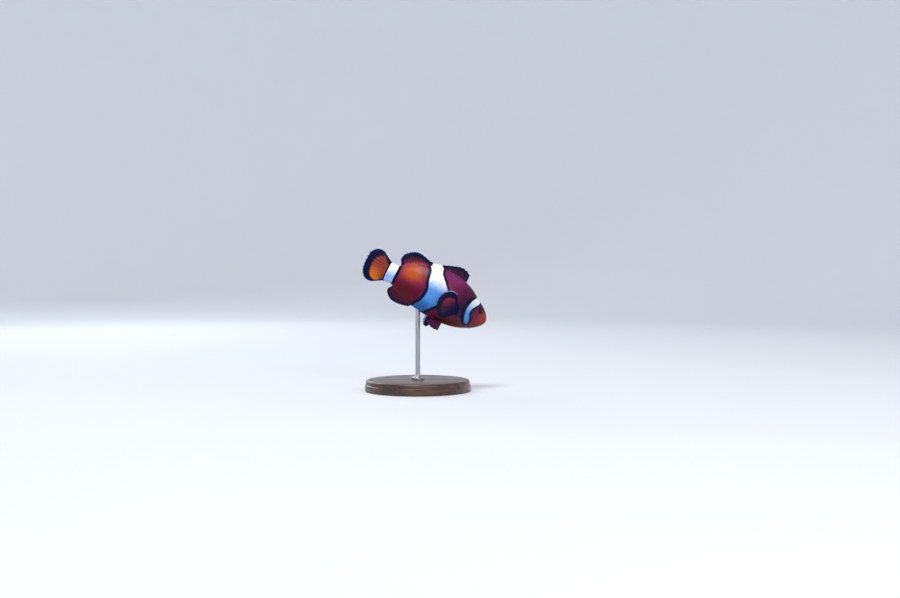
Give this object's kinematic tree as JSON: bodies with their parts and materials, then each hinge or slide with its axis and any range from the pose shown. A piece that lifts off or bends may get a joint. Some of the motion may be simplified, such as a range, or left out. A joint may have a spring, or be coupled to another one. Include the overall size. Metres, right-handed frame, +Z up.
{
  "type": "clownfish model",
  "caption": "Life-size still model of a clownfish in a swimming turn, head down, with rayed fins spread, held by a thin rod on a round display stand.",
  "frame": {"origin": "centre of the display stand's round underside", "axes": "+Z up out of the stand, +X towards the fish's head, +Y towards its left side"},
  "size_m": [0.0681, 0.056, 0.0761],
  "materials": {
    "skin": "satin, wet-looking scaled skin",
    "band": "satin, wet-looking scaled skin",
    "fin": "thin rayed membrane, satin",
    "tail_fin": "thin rayed membrane, satin",
    "eye": "clear gloss",
    "stand_wood": "dark stained, satin lacquer",
    "stand_steel": "brushed"
  },
  "bodies": {
    "root": {"head": "skin", "lower_jaw": "skin", "gill_cover_left": "skin", "gill_cover_right": "skin", "eye_left": "eye", "eye_right": "eye", "trunk": "skin", "rear_body": "skin", "tail_stalk": "band", "dorsal_fin_spiny": "fin", "dorsal_fin_soft": "fin", "anal_fin": "fin", "tail_fin": "tail_fin", "pectoral_fin_left": "fin", "pectoral_fin_right": "fin", "pelvic_fin_left": "fin", "pelvic_fin_right": "fin", "stand_base": "stand_wood", "stand_rod": "stand_steel"}
  },
  "joints": []
}
